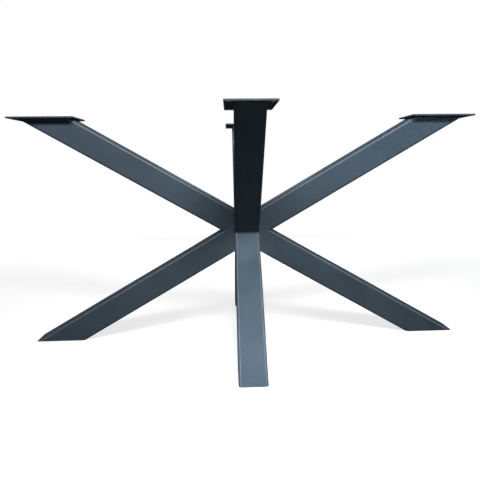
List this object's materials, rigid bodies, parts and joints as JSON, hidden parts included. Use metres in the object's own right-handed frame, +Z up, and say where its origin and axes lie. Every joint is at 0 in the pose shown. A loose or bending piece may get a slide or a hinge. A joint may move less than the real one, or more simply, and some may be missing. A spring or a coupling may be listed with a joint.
{
  "type": "table base",
  "caption": "Welded square-tube base for a dining table: two long crossed beams, a front and a rear V-shaped leg frame, screw plates on top and capped feet.",
  "frame": {"origin": "on the floor, straight under the point where the long beams cross, at the centre of the base's outline", "axes": "+Z up, +X along the long beams and the table's length, +Y towards the rear V"},
  "size_m": [1.4538, 0.8912, 0.725],
  "materials": {
    "powder_coat": "satin slate-grey powder coat with a fine texture",
    "plate_coat": "satin slate-grey powder coat with a fine texture"
  },
  "bodies": {
    "root": {"through_beam": "powder_coat", "upper_left_arm": "powder_coat", "lower_right_leg": "powder_coat", "crossing_welds": "powder_coat", "front_lower_leg": "powder_coat", "front_upper_arm": "powder_coat", "rear_lower_leg": "powder_coat", "rear_upper_arm": "powder_coat", "front_hub_beads": "powder_coat", "rear_hub_beads": "powder_coat", "left_plate_bead": "powder_coat", "right_plate_bead": "powder_coat", "front_plate_bead": "powder_coat", "rear_plate_bead": "powder_coat", "left_top_plate": "plate_coat", "right_top_plate": "plate_coat", "front_top_plate": "plate_coat", "rear_top_plate": "plate_coat", "left_foot_cap": "powder_coat", "right_foot_cap": "powder_coat", "front_foot_cap": "powder_coat", "rear_foot_cap": "powder_coat"}
  },
  "joints": []
}
